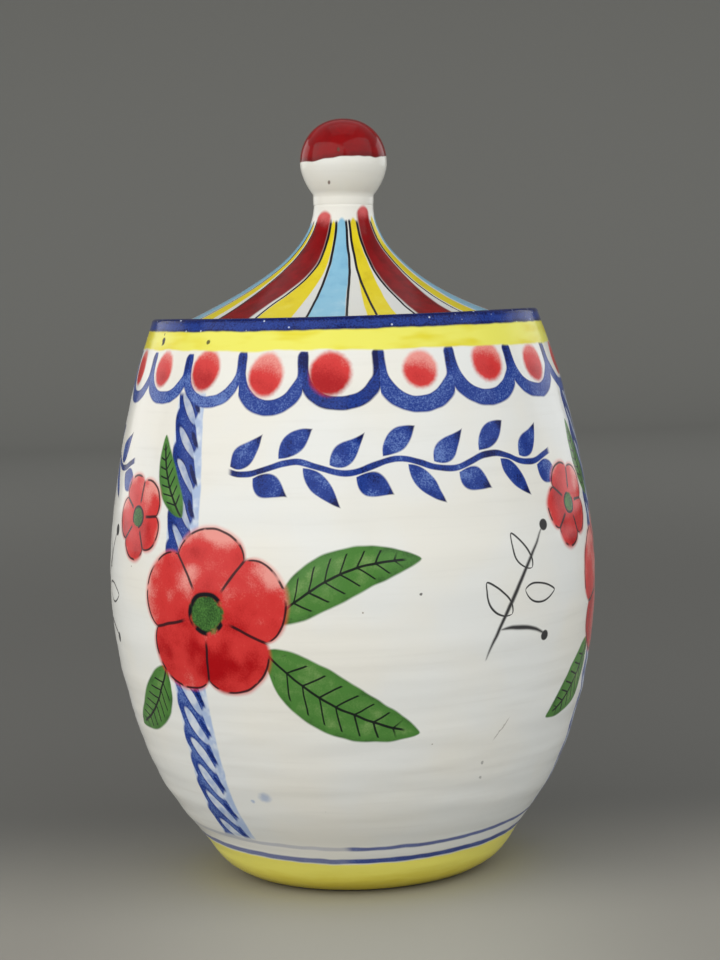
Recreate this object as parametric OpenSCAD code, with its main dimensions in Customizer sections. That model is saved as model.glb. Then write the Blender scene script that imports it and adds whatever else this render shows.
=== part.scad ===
// Lidded biscuit jar in glazed earthenware. A barrel-shaped jar stands on a low foot ring, and a
// flared lid with a ball knob drops onto a ledge just inside the rim.
// Millimetres, +Z up, with the origin on the table under the middle of the jar.

/* [Jar outline] */
// Height of the rim above the table
rim_z = 205; // [200:1:230]
// Outside diameter at the rim
rim_d = 141.4; // [139:0.2:148]
// Height where the wall starts to close in on the rim
neck_z = 180; // [165:1:184]
// Outside diameter at that height
neck_d = 158; // [154:1:164]
// Height of the shoulder
shoulder_z = 145; // [135:1:155]
// Outside diameter at the shoulder
shoulder_d = 172.8; // [168:0.2:176]
// Height of the widest place
belly_z = 110; // [100:1:120]
// Outside diameter at the widest place
belly_d = 180; // [177:0.5:200]
// Height of the flank, below the widest place
flank_z = 75; // [65:1:85]
// Outside diameter at the flank
flank_d = 172.6; // [168:0.2:176]
// Height of the hip, where the wall turns in to the foot
hip_z = 40; // [34:1:48]
// Outside diameter at the hip
hip_d = 151.2; // [146:0.2:156]
// Height of the flare just above the foot
flare_z = 15; // [12:1:20]
// Outside diameter at the flare
flare_d = 118.4; // [115:0.2:122]
// Height of the heel, where the wall rounds in to the table
heel_z = 5; // [4:0.5:7]
// Outside diameter at the heel
heel_d = 103.4; // [100:0.2:106]
// Outside diameter where the foot meets the table
foot_d = 86.8; // [82:0.2:92]

/* [Jar wall and foot] */
// Thickness of the wall, square to its surface
wall_t = 5.5; // [4:0.1:7]
// Thickness of the floor
floor_t = 7; // [5:0.5:10]
// Radius of the cove where the floor runs up into the wall
floor_cove = 12; // [4:1:16]
// Radius of the rounded edges of the lip
lip_r = 1.6; // [0.8:0.1:2.2]
// Height of the joint between the lower and the upper section of the wall
joint_z = 76; // [50:1:120]
// Height of the turned foot ring
foot_h = 5; // [4.5:0.5:8]
// Inside diameter of the foot ring
foot_in_d = 66; // [56:1:72]
// Rounding of the foot ring's edge on the table
foot_edge = 0.8; // [0.4:0.1:1.5]

/* [Mouth] */
// Thickness of the lip, from the rim's outside in to the mouth
lip_t = 5.9; // [4.8:0.1:8]
// Depth of the ledge's top below the rim
seat_drop = 7.6; // [6:0.2:12]
// How far the ledge stands in from the mouth
ledge_w = 7.8; // [5:0.2:12]
// Thickness of the ledge where it joins the wall
ledge_t = 6; // [4:0.5:9]
// Thickness of the ledge at its inner edge
ledge_edge_t = 4; // [2.5:0.5:4]
// Height over which the wall thickens to carry the ledge
haunch_h = 7; // [4:0.5:10]

/* [Lid] */
// Clearance all round between the lid's edge and the mouth
lid_gap = 1.8; // [0.8:0.1:2.5]
// Clearance all round between the locating ring and the ledge
ring_gap = 1.5; // [0.8:0.1:2.5]
// Thickness of the locating ring
ring_t = 4.5; // [3:0.5:6]
// Depth of the locating ring under the lid
ring_h = 10; // [6:0.5:16]
// Rounding of the ring's lower edge
ring_edge = 1.2; // [0.5:0.1:1.4]
// Thickness of the lid at its edge
edge_t = 5; // [4:0.2:6]
// Thickness of the roof
roof_t = 4.6; // [3:0.2:5]
// Height of the roof above the ledge
roof_h = 48.6; // [44:0.2:56]
// Diameter of the roof's neck, where the knob is set on
roof_neck_d = 21.9; // [20:0.1:26]
// How far the neck's straight run pulls the flare down
neck_pull = 22.9; // [18:0.1:26]
// How far the skirt pulls the flare out towards the edge
skirt_pull = 15.1; // [8:0.1:20]
// Rise of the skirt at the edge, for each millimetre inwards
skirt_rise = 0.4; // [0.2:0.02:0.5]
// Thickness of solid clay left under the knob
crown_t = 12; // [8:0.5:16]

/* [Knob] */
// Diameter of the ball
knob_d = 32.4; // [28:0.2:38]
// Height of the ball from its middle to its top
knob_rise = 16.5; // [14:0.1:19]
// Height of the ball's middle above the top of the roof
knob_lift = 14.7; // [12.5:0.1:17]
// Height of the straight stem under the ball
stem_h = 1.8; // [1:0.1:2.6]
// Fullness of the ball, 2 is a true ellipse
knob_full = 2.15; // [2:0.05:2.4]
// Height over which the stem widens into the ball
stem_flare = 1.2; // [0.8:0.1:1.6]

/* [Hidden] */
$fn = 96;
wall_steps = 24;
curve_steps = 28;
arc_steps = 6;
foot_steps = 3;
// Half the height over which the slope of the wall is taken
slope_reach = 0.5;
// The same for the roof, as a share of its curve
roof_reach = 0.01;
// Least run left between the end of a curve and the corner after it
corner_run = 1;

mouth_r = rim_d / 2 - lip_t;
throat_r = mouth_r - ledge_w;
foot_in_r = foot_in_d / 2;
floor_z = foot_h + floor_t;
seat_z = rim_z - seat_drop;
ledge_low_z = seat_z - ledge_t;
haunch_z = ledge_low_z - haunch_h;
lid_r = mouth_r - lid_gap;
edge_r = edge_t / 2;
edge_top_z = seat_z + edge_t;
ring_r = throat_r - ring_gap;
hollow_r = ring_r - ring_t;
roof_z = seat_z + roof_h;
roof_neck_r = roof_neck_d / 2;
hollow_z = roof_z - crown_t;
knob_r = knob_d / 2;
knob_z = roof_z + knob_lift;

// Height and radius of the places that the outside of the wall passes through
stations = [
    [0, foot_d / 2],
    [heel_z, heel_d / 2],
    [flare_z, flare_d / 2],
    [hip_z, hip_d / 2],
    [flank_z, flank_d / 2],
    [belly_z, belly_d / 2],
    [shoulder_z, shoulder_d / 2],
    [neck_z, neck_d / 2],
    [rim_z, rim_d / 2]
];

// Slope of the outside at station i, taken from the stations on either side
function station_slope(i) =
    let (a = stations[max(i - 1, 0)], b = stations[min(i + 1, len(stations) - 1)])
    (b.y - a.y) / (b.x - a.x);

// Outside radius at height z: one smooth curve through all the stations
function wall_r(z) =
    let (i = max([for (k = [0 : len(stations) - 2]) if (k == 0 || z >= stations[k].x) k]))
    let (a = stations[i], b = stations[i + 1], h = b.x - a.x, t = (z - a.x) / h)
    a.y * (1 + 2 * t) * (1 - t) * (1 - t) + b.y * t * t * (3 - 2 * t)
    + h * station_slope(i) * t * (1 - t) * (1 - t) - h * station_slope(i + 1) * t * t * (1 - t);

// Change of the outside radius for each millimetre up, at height z
function wall_slope(z) =
    (wall_r(z + slope_reach) - wall_r(z - slope_reach)) / (2 * slope_reach);

// Inside radius at height z, with the wall's thickness square to its surface
function inner_r(z) = wall_r(z) - wall_t * sqrt(1 + wall_slope(z) * wall_slope(z));

// Points of an arc about a centre, from one angle to another
function arc(centre, r, from, to) =
    [for (i = [0 : arc_steps]) let (a = from + (to - from) * i / arc_steps)
        centre + r * [cos(a), sin(a)]];

// Points of the outside between two heights
function wall_line(low, high) =
    [for (i = [0 : wall_steps]) let (z = low + (high - low) * i / wall_steps) [wall_r(z), z]];

// Cove between the floor and the wall, ending in line with the wall
function cove() =
    let (a = atan(wall_slope(floor_z + floor_cove / 2)), z = floor_z + floor_cove * (1 - sin(a)))
    let (centre = [inner_r(z) - floor_cove * cos(a), floor_z + floor_cove])
    arc(centre, floor_cove, -a, -90);

// Points of the inside, going down between two heights
function inner_line(high, low) =
    [for (i = [0 : wall_steps]) let (z = high + (low - high) * i / wall_steps) [inner_r(z), z]];

// Radius of the flat floor, where the cove starts
floor_r = cove()[arc_steps].x;

// Roof's outside from the neck, t = 0, to the edge, t = 1
function roof_handles() = [
    [roof_neck_r, roof_z],
    [roof_neck_r, roof_z - neck_pull],
    [lid_r - skirt_pull, edge_top_z + skirt_rise * skirt_pull],
    [lid_r, edge_top_z]
];
function roof_point(t) =
    let (p = roof_handles(), u = 1 - t)
    u * u * u * p[0] + 3 * u * u * t * p[1] + 3 * u * t * t * p[2] + t * t * t * p[3];

// The same curve moved in by the roof's thickness
function roof_inside(t) =
    let (d = roof_point(t + roof_reach) - roof_point(t - roof_reach), n = [d.y, -d.x] / norm(d))
    roof_point(t) + roof_t * n;

// Radius of the ball at a height above or below its middle
function ball_r(h) =
    let (t = min(abs(h) / knob_rise, 1)) knob_r * pow(1 - pow(t, knob_full), 1 / knob_full);

// Flat slab that closes the jar, inside the start of the cove
module jar_floor() {
    color("white")
        rotate_extrude()
        polygon([[0, foot_h], [floor_r, foot_h], [floor_r, floor_z], [0, floor_z]]);
}

// Wall from the foot to the joint, with the cove inside
module lower_wall() {
    color("ivory")
        rotate_extrude()
        polygon(concat(
            [[floor_r, foot_h]],
            wall_line(foot_h, joint_z),
            inner_line(joint_z, cove()[0].y + corner_run),
            cove()
        ));
}

// Wall from the joint to the haunch
module upper_wall() {
    color("ivory")
        rotate_extrude()
        polygon(concat(wall_line(joint_z, haunch_z), inner_line(haunch_z, joint_z)));
}

// Thickened top of the wall, with the rounded lip and the straight mouth
module rim_collar() {
    lip_z = rim_z - lip_r;
    lip_out = [wall_r(lip_z) - lip_r, lip_z];
    lip_in = [mouth_r + lip_r, lip_z];
    color("royalblue")
        rotate_extrude()
        polygon(concat(
            [[inner_r(haunch_z), haunch_z]],
            wall_line(haunch_z, lip_z - corner_run),
            arc(lip_out, lip_r, 0, 90),
            arc(lip_in, lip_r, 90, 180),
            [[mouth_r, ledge_low_z]]
        ));
}

// Turned foot that the jar stands on, in line with the outside of the wall
module foot_ring() {
    foot_r = foot_d / 2;
    color("khaki")
        rotate_extrude()
        polygon(concat(
            [[foot_in_r, foot_edge], [foot_in_r + foot_edge, 0], [foot_r - foot_edge, 0]],
            [for (i = [0 : foot_steps])
                let (z = foot_edge + (foot_h - foot_edge) * i / foot_steps) [wall_r(z), z]],
            [[foot_in_r, foot_h]]
        ));
}

// Ledge that the lid sits on
module mouth_ledge() {
    color("white")
        rotate_extrude()
        polygon([
            [throat_r, seat_z - ledge_edge_t],
            [mouth_r, ledge_low_z],
            [mouth_r, seat_z],
            [throat_r, seat_z]
        ]);
}

module lid_roof() {
    outside = [for (i = [0 : curve_steps]) roof_point(1 - i / curve_steps)];
    inside = [
        for (i = [1 : curve_steps - 1])
            let (p = roof_inside(i / curve_steps))
            if (p.y < hollow_z - corner_run && p.x < hollow_r - corner_run) p
    ];
    color("firebrick")
        rotate_extrude()
        polygon(concat(
            [[hollow_r, seat_z]],
            arc([lid_r - edge_r, seat_z + edge_r], edge_r, -90, 0),
            outside,
            [[0, roof_z], [0, hollow_z], [inside[0].x, hollow_z]],
            inside,
            [[hollow_r, inside[len(inside) - 1].y]]
        ));
}

// Ring under the lid that keeps it from sliding off the ledge
module lid_locating_ring() {
    low_z = seat_z - ring_h;
    color("gainsboro")
        rotate_extrude()
        polygon(concat(
            arc([ring_r - ring_edge, low_z + ring_edge], ring_edge, -90, 0),
            [[ring_r, seat_z], [hollow_r, seat_z]],
            arc([hollow_r + ring_edge, low_z + ring_edge], ring_edge, 180, 270)
        ));
}

module lid_knob() {
    ball_low = stem_h + stem_flare - knob_lift;
    color("crimson")
        rotate_extrude()
        polygon(concat(
            [[0, roof_z], [roof_neck_r, roof_z], [roof_neck_r, roof_z + stem_h]],
            [for (i = [0 : curve_steps])
                let (h = knob_rise * sin(asin(ball_low / knob_rise) * (1 - i / curve_steps)
                    + 90 * i / curve_steps))
                [ball_r(h), knob_z + h]]
        ));
}

foot_ring();
jar_floor();
lower_wall();
upper_wall();
rim_collar();
mouth_ledge();
lid_roof();
lid_locating_ring();
lid_knob();
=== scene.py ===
import math

import bpy
from mathutils import Euler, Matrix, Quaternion, Vector


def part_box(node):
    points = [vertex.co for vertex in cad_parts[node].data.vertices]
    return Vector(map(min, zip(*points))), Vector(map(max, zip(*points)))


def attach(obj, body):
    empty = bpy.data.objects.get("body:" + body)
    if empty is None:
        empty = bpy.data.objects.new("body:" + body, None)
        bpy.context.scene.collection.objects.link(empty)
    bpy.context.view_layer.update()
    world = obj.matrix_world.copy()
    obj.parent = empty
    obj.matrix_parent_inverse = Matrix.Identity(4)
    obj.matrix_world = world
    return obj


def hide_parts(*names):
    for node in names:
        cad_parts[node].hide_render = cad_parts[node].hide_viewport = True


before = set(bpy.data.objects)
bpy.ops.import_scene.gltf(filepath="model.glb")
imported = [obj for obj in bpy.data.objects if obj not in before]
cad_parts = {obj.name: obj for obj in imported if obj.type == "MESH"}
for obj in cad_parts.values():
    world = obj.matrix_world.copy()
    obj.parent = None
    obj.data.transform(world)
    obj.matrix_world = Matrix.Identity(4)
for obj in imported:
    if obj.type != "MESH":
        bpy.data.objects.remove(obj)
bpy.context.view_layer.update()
scene = bpy.context.scene
scene.view_settings.view_transform = "Standard"
mm = 0.001
print("frame loaded:", ", ".join(sorted(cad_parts)))


# ---- camera, at the photograph's place and tilt
cameraSettings = {
    "lens": 79.4, "sensor": 36,  # the sensor's width lies along the picture's long side
    "place": (0.0042, -0.786, 0.2052),
    "lookDown": 4.46,
    "tilt": 2.23,  # the right side of the picture sits a little higher
}


def makeCamera(settings):
    data = bpy.data.cameras.new("camera")
    data.lens = settings["lens"]
    data.sensor_width = settings["sensor"]
    camera = bpy.data.objects.new("camera", data)
    level = Euler((math.radians(90 - settings["lookDown"]), 0, 0)).to_quaternion()
    camera.rotation_mode = "QUATERNION"
    camera.rotation_quaternion = level @ Quaternion((0, 0, 1), math.radians(-settings["tilt"]))
    camera.location = settings["place"]
    scene.collection.objects.link(camera)
    scene.camera = camera


makeCamera(cameraSettings)
print("camera set")


# ---- node maths: a wire is one socket, and an expression on wires adds the nodes it needs
class Wire:
    def __init__(self, tree, socket=None):
        self.tree, self.socket = tree, socket

    def node(self, kind, settings=None, sockets=None, out=0):
        made = self.tree.nodes.new(kind)
        for name, value in (settings or {}).items():
            setattr(made, name, value)
        for name, value in (sockets or {}).items():
            if isinstance(value, Wire):
                self.tree.links.new(value.socket, made.inputs[name])
            else:
                made.inputs[name].default_value = value
        return Wire(self.tree, made.outputs[out])

    def math(self, operation, *others):
        return self.node("ShaderNodeMath", {"operation": operation},
                         dict(enumerate((self,) + others)))

    def __add__(self, other):
        return self.math("ADD", other)

    def __sub__(self, other):
        return self.math("SUBTRACT", other)

    def __mul__(self, other):
        return self.math("MULTIPLY", other)

    def __truediv__(self, other):
        return self.math("DIVIDE", other)

    def __pow__(self, other):
        return self.math("POWER", other)

    def __rsub__(self, other):
        return self.node("ShaderNodeMath", {"operation": "SUBTRACT"}, {0: other, 1: self})

    def __abs__(self):
        return self.math("ABSOLUTE")

    __radd__ = __add__
    __rmul__ = __mul__


def length(a, b):
    return (a * a + b * b).math("SQRT")


def ramp(value, start, end):
    # 0 at start, 1 at end and smooth between, whichever of the two is higher
    return value.node("ShaderNodeMapRange", {"interpolation_type": "SMOOTHSTEP"},
                      {"Value": value, "From Min": start, "From Max": end})


def within(value, low, high, soft):
    return ramp(value, low - soft, low + soft) * ramp(value, high + soft, high - soft)


def tint(red, green, blue):
    # a colour written as it shows on a screen, 0 to 255
    return tuple(((c / 255 + 0.055) / 1.055) ** 2.4 for c in (red, green, blue)) + (1,)


def mixed(under, over, mask):
    return mask.node("ShaderNodeMix", {"data_type": "RGBA"}, {0: mask, 6: under, 7: over}, 2)


def split(vector):
    made = vector.node("ShaderNodeSeparateXYZ", None, {0: vector}).socket.node
    return [Wire(vector.tree, out) for out in made.outputs]


def joined(x, y, z):
    return x.node("ShaderNodeCombineXYZ", None, {0: x, 1: y, 2: z})


def vectors(operation, *values):
    return values[0].node("ShaderNodeVectorMath", {"operation": operation}, dict(enumerate(values)))


grains = {}


def grain(point, size, detail=2, out=0):
    # noise whose lumps are about so many millimetres across, made once and shared
    key = (point.tree.as_pointer(), point.socket.node.name, size, detail, out)
    if key not in grains:
        grains[key] = point.node("ShaderNodeTexNoise", {"noise_dimensions": "3D"},
                                 {"Vector": point, "Scale": 1 / (size * mm), "Detail": detail}, out)
    return grains[key]


# ---- turned shapes: one tree turns an outline round the upright axis
turningSettings = {
    # throwing rings: how far their noise reaches round the wall, how they climb, and its detail
    "ringReach": 0.6, "ringClimb": 0.15, "ringDetail": 1.5,
    "swellReach": 0.9, "swellRise": 9,  # the slow swelling out of round
    "leanEase": 0.03,  # the lean starts gently over this height, in metres
    "waveFrom": 0.17, "waveFull": 0.205,  # heights over which the rim's rise sets in
    "weld": 1e-6,
}


def turningTree(s):
    tree = bpy.data.node_groups.new("turnedOutline", "GeometryNodeTree")
    face = tree.interface
    for name, kind in (("Outline", "Geometry"), ("Segments", "Int"), ("Ring Depth", "Float"),
                       ("Ring Spacing", "Float"), ("Out Of Round", "Float"), ("Lean", "Float"),
                       ("Lean From", "Float"), ("Wave", "Float"), ("Seed", "Float"),
                       ("Material", "Material")):
        face.new_socket(name, in_out="INPUT", socket_type="NodeSocket" + kind)
    face.new_socket("Shape", in_out="OUTPUT", socket_type="NodeSocketGeometry")
    given = tree.nodes.new("NodeGroupInput")
    wire = {out.name: Wire(tree, out) for out in given.outputs if out.name}
    outline = wire["Outline"]

    count = outline.node("GeometryNodeAttributeDomainSize", {"component": "MESH"}, {0: outline})
    grid = count.node("GeometryNodeMeshGrid", None, {
        "Size X": 1.0, "Size Y": 1.0, "Vertices X": count, "Vertices Y": wire["Segments"] + 1})
    across, around, _ = split(grid.node("GeometryNodeInputPosition"))
    row = ((across + 0.5) * (count - 1) + 0.5).math("FLOOR")
    turn = around + 0.5
    angle = (0.25 - turn) * math.tau  # the seam is at the back

    def picked(kind, value):
        return row.node("GeometryNodeSampleIndex", {"data_type": kind, "domain": "POINT"},
                        {"Geometry": outline, "Value": value, "Index": row})

    def sampled(name):
        return picked("FLOAT", row.node("GeometryNodeInputNamedAttribute", {"data_type": "FLOAT"},
                                        {"Name": name}))

    radius, _, height = split(picked("FLOAT_VECTOR", row.node("GeometryNodeInputPosition")))
    cosine, sine = angle.math("COSINE"), angle.math("SINE")

    # throwing rings: noise that is long round the wall and short up it
    thrown = joined(cosine * s["ringReach"] + wire["Seed"], sine * s["ringReach"],
                    height / wire["Ring Spacing"] + sine * s["ringClimb"])
    rings = thrown.node("ShaderNodeTexNoise", {"noise_dimensions": "3D"},
                        {"Vector": thrown, "Scale": 1.0, "Detail": s["ringDetail"]}) - 0.5
    lopsided = joined(cosine * s["swellReach"], sine * s["swellReach"],
                      height * s["swellRise"] + wire["Seed"])
    swell = lopsided.node("ShaderNodeTexNoise", {"noise_dimensions": "3D"},
                          {"Vector": lopsided, "Scale": 1.0, "Detail": 0.0}) - 0.5
    relief = sampled("relief")
    radius = radius + relief * (rings * wire["Ring Depth"] + swell * wire["Out Of Round"])
    upright = joined(radius * cosine, radius * sine, height)

    # what stands above a height leans over a little, as hand-set clay does, and the jar's rim
    # rises at its left and right
    above = (height - wire["Lean From"]).math("MAXIMUM", 0)
    share = ramp(above, 0, s["leanEase"]) * wire["Lean"]
    lifted = ramp(height, s["waveFrom"], s["waveFull"]) * cosine * cosine * wire["Wave"]
    placed = joined(radius * cosine + above * share, radius * sine,
                    height - radius * cosine * share + lifted)

    def stored(shape, kind, domain, name, value):
        return shape.node("GeometryNodeStoreNamedAttribute", {"data_type": kind, "domain": domain},
                          {"Geometry": shape, "Name": name, "Value": value})

    # the shape before it leaned carries the painting, and the map for baking has its own name
    shape = stored(grid, "FLOAT_VECTOR", "POINT", "thrown", upright)
    shape = stored(shape, "FLOAT", "POINT", "painted", sampled("painted"))
    shape = stored(shape, "FLOAT2", "CORNER", "OFBake", joined(1 - turn, sampled("along"), 0.0))
    for kind, sockets in (("GeometryNodeSetPosition", {"Position": placed}),
                          ("GeometryNodeMergeByDistance", {"Distance": s["weld"]}),
                          ("GeometryNodeSetShadeSmooth", {}),
                          ("GeometryNodeRealizeInstances", {}),
                          ("GeometryNodeSetMaterial", {"Material": wire["Material"]})):
        shape = shape.node(kind, None, {"Geometry": shape, **sockets})
    tree.links.new(shape.socket, tree.nodes.new("NodeGroupOutput").inputs[0])
    return tree


turned = turningTree(turningSettings)
turnedInputs = {item.name: item.identifier for item in turned.interface.items_tree
                if item.in_out == "INPUT"}


def turnedPiece(name, outline, sizes, material):
    # outline: (radius, height, relief, painted, share of the map) in millimetres, from the
    # axis outside first, so that the faces point outwards
    mesh = bpy.data.meshes.new(name + "Outline")
    mesh.from_pydata([(p[0] * mm, 0, p[1] * mm) for p in outline],
                     [(i, i + 1) for i in range(len(outline) - 1)], [])
    spans = [0.0]
    for a, b in zip(outline, outline[1:]):
        spans.append(spans[-1] + math.hypot(b[0] - a[0], b[1] - a[1]) * (a[4] + b[4]) / 2)
    for key, values in (("relief", [p[2] for p in outline]), ("painted", [p[3] for p in outline]),
                        ("along", [s / spans[-1] for s in spans])):
        mesh.attributes.new(key, "FLOAT", "POINT").data.foreach_set("value", values)
    source = bpy.data.objects.new(name + "Outline", mesh)
    scene.collection.objects.link(source)
    modifier = source.modifiers.new("turn", "NODES")
    modifier.node_group = turned
    values = {"Segments": sizes["segments"], "Ring Depth": sizes.get("ringDepth", 0) * mm,
              "Ring Spacing": sizes.get("ringSpacing", 8) * mm,
              "Out Of Round": sizes.get("outOfRound", 0) * mm,
              "Lean": math.tan(math.radians(sizes.get("lean", 0))),
              "Lean From": sizes.get("leanFrom", 0) * mm, "Wave": sizes.get("wave", 0) * mm,
              "Seed": sizes.get("seed", 1.0), "Material": material}
    for key, value in values.items():
        modifier[turnedInputs[key]] = value
    finished = bpy.data.meshes.new_from_object(
        source.evaluated_get(bpy.context.evaluated_depsgraph_get()))
    finished.name = name
    bpy.data.objects.remove(source)
    piece = bpy.data.objects.new(name, finished)
    scene.collection.objects.link(piece)
    return piece


def arc(centre, radius, start, end, count, *rest):
    turns = [math.radians(start + (end - start) * i / count) for i in range(count + 1)]
    return [(centre[0] + radius * math.cos(a), centre[1] + radius * math.sin(a)) + rest
            for a in turns]


def steps(low, high, gap):
    count = max(1, round(abs(high - low) / gap))
    return [low + (high - low) * i / count for i in range(count + 1)]


def eased(value, start, end):
    t = min(max((value - start) / (end - start), 0), 1)
    return t * t * (3 - 2 * t)


# sizes taken from the solids, in millimetres
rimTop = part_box("rim_collar")[1].z / mm
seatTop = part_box("mouth_ledge")[1].z / mm
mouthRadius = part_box("mouth_ledge")[1].x / mm
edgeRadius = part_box("lid_roof")[1].x / mm
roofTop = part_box("lid_roof")[1].z / mm
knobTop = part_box("lid_knob")[1].z / mm
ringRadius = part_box("lid_locating_ring")[1].x / mm
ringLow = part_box("lid_locating_ring")[0].z / mm


# ---- painted surfaces
def startMaterial(name):
    material = bpy.data.materials.new(name)
    material.use_nodes = True
    tree = material.node_tree
    tree.nodes.clear()
    start = Wire(tree)
    point = start.node("ShaderNodeAttribute", {"attribute_name": "thrown"}, None, 1)
    painted = start.node("ShaderNodeAttribute", {"attribute_name": "painted"}, None, 2)
    return material, point, painted


def finishMaterial(material, colour, roughness, height, ior=1.24):
    # height in millimetres
    surface = colour.node("ShaderNodeBsdfPrincipled")
    shader = surface.socket.node
    tree = material.node_tree
    bump = height.node("ShaderNodeBump", None,
                       {"Strength": 1.0, "Distance": 1.0, "Height": height * mm})
    for name, wire in (("Base Color", colour), ("Roughness", roughness), ("Normal", bump)):
        tree.links.new(wire.socket, shader.inputs[name])
    shader.inputs["IOR"].default_value = ior
    tree.links.new(surface.socket, tree.nodes.new("ShaderNodeOutputMaterial").inputs[0])
    return material


def shaken(point, size, reach):
    # the same place, moved about a little, so that brush edges wander
    drift = vectors("SUBTRACT", grain(point, size, 1, 1), (0.5, 0.5, 0.5))
    return vectors("MULTIPLY_ADD", drift, (reach * mm,) * 3, point)


def unrolled(point):
    # turn in degrees from the front, radius and height in millimetres
    x, y, z = split(point)
    turn = x.math("ARCTAN2", y * -1) * math.degrees(1)
    return turn, length(x, y) / mm, z / mm


# each paint thin and pale, as it mostly is, and thick and dark
cobaltTints = {"pale": (98, 124, 186), "mid": (30, 58, 138), "dark": (5, 16, 76)}
redTints = {"pale": (232, 150, 140), "mid": (208, 54, 52), "dark": (168, 8, 16)}
greenTints = {"pale": (124, 158, 92), "mid": (78, 128, 58), "dark": (48, 84, 40)}
inkTint = tint(22, 20, 26)
glazeTints = {"warm": (232, 229, 219), "cool": (230, 230, 225), "streak": (212, 209, 200),
              "speck": (120, 96, 70)}


def brushed(point, shade, tints, speckle=0.9, pooling=0.5):
    # one colour of paint: shade 0 is thin and pale, 1 is thick and dark, broken up by the fine
    # grain of the pigment and by wider pools of it
    fine, wide = grain(point, 0.6, 1), grain(point, 6, 2)
    depth = shade + (fine - 0.5) * speckle + (wide - 0.5) * pooling
    light = mixed(tint(*tints["pale"]), tint(*tints["mid"]), ramp(depth, 0.0, 0.5))
    return mixed(light, tint(*tints["dark"]), ramp(depth, 0.5, 1.0))


def glazed(point, wear=1.0):
    # the bare white glaze: soft clouds, faint turning streaks, small specks
    clouds = grain(point, 38, 2)
    colour = mixed(tint(*glazeTints["warm"]), tint(*glazeTints["cool"]), ramp(clouds, 0.35, 0.65))
    streak = grain(vectors("MULTIPLY", point, (0.35, 0.35, 7.0)), 14, 3)
    colour = mixed(colour, tint(*glazeTints["streak"]), ramp(streak, 0.5, 0.9) * (0.3 * wear))
    speck = point.node("ShaderNodeTexVoronoi", {"feature": "F1"},
                       {"Vector": point, "Scale": 1 / (13 * mm)})
    return mixed(colour, tint(*glazeTints["speck"]), ramp(speck, 0.03, 0.015) * (0.7 * wear))


def glazeRelief(point):
    return grain(point, 11, 2) * 0.10 + grain(point, 1.6, 1) * 0.006


def glazeRoughness(point, base=0.10):
    return grain(point, 16, 3) * 0.10 + base


def listed(index, rows, low, high):
    # the row of a short table for each whole number, its values between low and high
    made = index.node("ShaderNodeValToRGB", None, {"Fac": (index + 0.5) / len(rows)}).socket.node
    made.color_ramp.interpolation = "CONSTANT"
    for i, row in enumerate(rows):
        stop = (made.color_ramp.elements[0] if i == 0 else
                made.color_ramp.elements.new(i / len(rows)))
        stop.color = ([(value - a) / (b - a) for value, a, b in zip(row, low, high)]
                      + [1] * (4 - len(row)))
    made.color_ramp.elements.remove(made.color_ramp.elements[-1])
    found = split(Wire(index.tree, made.outputs["Color"])) + [Wire(index.tree, made.outputs[1])]
    return [wire * (b - a) + a for wire, a, b in zip(found, low, high)]


def turnedAxes(x, z, place, tilt=0.0):
    # a motif's own along and across directions, measured from its place
    dx, dz = x - place[0], z - place[1]
    c, s = math.cos(math.radians(tilt)), math.sin(math.radians(tilt))
    return dx * c + dz * s, dz * c - dx * s


def leafMasks(x, z, start, tip, width, bend):
    # body, ink veins, and distance in from the edge, with nine ribs a side
    ribCount = 9
    span = math.hypot(tip[0] - start[0], tip[1] - start[1])
    tilt = math.degrees(math.atan2(tip[1] - start[1], tip[0] - start[0]))
    along, across = turnedAxes(x, z, start, tilt)
    t = along / span
    arch = t * (1 - t)
    across = across - arch * (4 * bend)
    half = arch.math("MAXIMUM", 0) ** 0.7 * (2.64 * width) * (1.25 - t * 0.5)
    body = ramp(abs(across) - half, 0.5, -0.5) * within(t, 0, 1, 0.01)
    vein = ramp(abs(across), 0.62, 0.28) * within(t, 0.02, 0.9, 0.02)
    side = (t * ribCount - abs(across) / (0.9 * width)).math("FRACT") - 0.5
    ribs = (ramp(abs(side) * (span / ribCount), 0.5, 0.22)
            * ramp(abs(across) - half * 0.75, 0.3, -0.3))
    return body, (vein + ribs * within(t, 0.12, 0.86, 0.03)).math("MINIMUM", 1), half - abs(across)


def blossomMasks(x, z, place, radius, petals, tilt):
    # body, ink rim, ink folds, and how far out from the middle, 0 to 1
    dx, dz = turnedAxes(x, z, place, tilt)
    out = length(dx, dz * 1.08)
    wave = (dz.math("ARCTAN2", dx) * (petals / 2)).math("COSINE")
    rim = (abs(wave) + 0.02) ** 0.55 * (0.24 * radius) + 0.77 * radius
    edge = out - rim
    body = ramp(edge, 1.8, -1.0)
    line = ramp(abs(edge + 0.4), 0.62, 0.2)
    folds = ramp(abs(wave) * out / (petals / 2), 0.75, 0.3) * within(out / radius, 0.34, 0.82, 0.05)
    return body, line, folds, out / radius


print("node helpers ready")


# ---- jar
jarSettings = {
    # height and outside radius of the places that the wall passes through
    "stations": [(0, 43.4), (5, 51.7), (15, 59.2), (40, 75.6), (75, 86.3), (110, 90),
                 (145, 86.4), (180, 79), (205, 70.7)],
    "wall": 5.5, "floorTop": 12, "cove": 12, "footInside": 41.4, "footHeight": 5,
    # the glazed heel: its lowest height, and its points out from the foot and up from there
    "glazeEnd": 0.25, "heel": ((0.4, 0.2, 0), (1.1, 0, 1), (1.8, 0.3, 1)),
    "lipRound": 1.6, "ledgeUnder": 6, "haunch": 7,
    # throwing rings: heights between which they come in, fade out, and grow deeper
    "ringsIn": (1.5, 20), "ringsOut": 190, "ringsDeeper": (100, 50),
    "segments": 288, "ringDepth": 0.8, "ringSpacing": 9, "outOfRound": 0.7, "seed": 3.1,
    "lean": 0.45, "leanFrom": 80, "wave": 0.9,
}
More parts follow.
